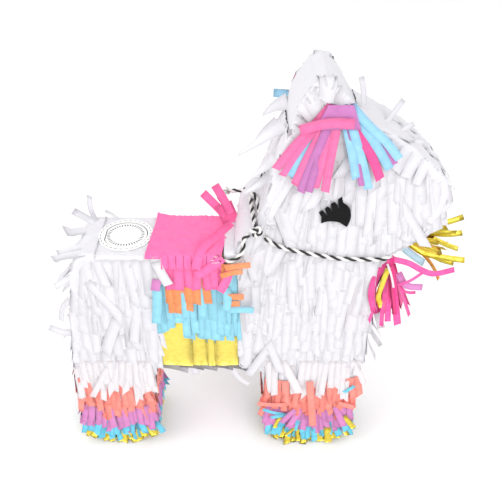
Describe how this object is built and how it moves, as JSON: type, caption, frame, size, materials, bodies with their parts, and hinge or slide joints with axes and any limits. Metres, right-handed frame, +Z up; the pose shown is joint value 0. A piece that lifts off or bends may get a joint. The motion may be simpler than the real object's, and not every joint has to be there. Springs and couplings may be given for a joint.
{
  "type": "mini pinata",
  "caption": "Small llama-shaped party pinata: flat card body under tissue fringe, fold-up fill flap in the back, tassels on a twine collar.",
  "frame": {"origin": "on the surface it stands on, under the middle of the whole object", "axes": "+X towards the nose, +Z up, the right flank at -Y"},
  "size_m": [0.1738, 0.0367, 0.1909],
  "materials": {
    "card": "matte",
    "white_tissue": "matte",
    "pink_tissue": "matte",
    "orange_tissue": "matte",
    "blue_tissue": "matte",
    "coral_tissue": "matte",
    "lilac_tissue": "matte",
    "turquoise_tissue": "matte",
    "gold_foil": "gloss",
    "eye_black": "gloss",
    "sticker_paper": "satin",
    "twine": "matte"
  },
  "bodies": {
    "body": {"side_panel_right": "card", "side_panel_left": "card", "back_band": "card", "shoulder_band": "card", "nape_band": "card", "ear_band": "card", "forehead_band": "card", "nose_band": "card", "chin_band": "card", "chest_band": "card", "front_sole": "card", "front_leg_inner_band": "card", "belly_band": "card", "rear_leg_inner_band": "card", "rear_sole": "card", "rump_band": "card", "fill_sticker_ring": "sticker_paper", "white_rump_fringe_right": "white_tissue", "white_rump_fringe_left": "white_tissue", "white_front_fringe_right": "white_tissue", "white_front_fringe_left": "white_tissue", "white_rump_edge_fringe": "white_tissue", "white_belly_fringe": "white_tissue", "white_nape_fringe": "white_tissue", "white_ear_fringe": "white_tissue", "white_face_edge_fringe": "white_tissue", "white_chest_fringe": "white_tissue", "saddle_sheet": "pink_tissue", "saddle_pink_row_right": "pink_tissue", "saddle_pink_row_left": "pink_tissue", "saddle_orange_row_right": "orange_tissue", "saddle_orange_row_left": "orange_tissue", "saddle_blue_row_right": "blue_tissue", "saddle_blue_row_left": "blue_tissue", "saddle_gold_row_right": "gold_foil", "saddle_gold_row_left": "gold_foil", "rear_foot_coral_row": "coral_tissue", "rear_foot_lilac_row": "lilac_tissue", "rear_foot_turquoise_row": "turquoise_tissue", "rear_foot_gold_row": "gold_foil", "front_foot_coral_row": "coral_tissue", "front_foot_lilac_row": "lilac_tissue", "front_foot_turquoise_row": "turquoise_tissue", "front_foot_gold_row": "gold_foil", "eye_right": "eye_black", "forelock_right": "pink_tissue", "eye_left": "eye_black", "forelock_left": "pink_tissue", "twine_collar": "twine", "twine_front_tail": "twine", "twine_rear_tail": "twine", "twine_knot": "twine"},
    "fill_flap": {"fill_flap_card": "card", "fill_sticker_center": "sticker_paper"},
    "pink_tassel": {"pink_tassel_binding": "twine", "pink_tassel_skirt": "pink_tissue"},
    "gold_tassel": {"gold_tassel_binding": "twine", "gold_tassel_skirt": "gold_foil"}
  },
  "joints": [
    {"name": "fill_flap_hinge", "type": "hinge", "parent": "body", "child": "fill_flap", "pos_m": [-0.06501, 0, 0.1169], "axis": [0, -1, 0], "range_deg": [0, 110]},
    {"name": "pink_tassel_swing", "type": "hinge", "parent": "body", "child": "pink_tassel", "pos_m": [0.05309, -0.012, 0.1155], "axis": [0, -1, 0], "range_deg": [0, 45]},
    {"name": "gold_tassel_swing", "type": "hinge", "parent": "body", "child": "gold_tassel", "pos_m": [0.05259, 0.005, 0.1135], "axis": [0, -1, 0], "range_deg": [-50, 18]}
  ]
}
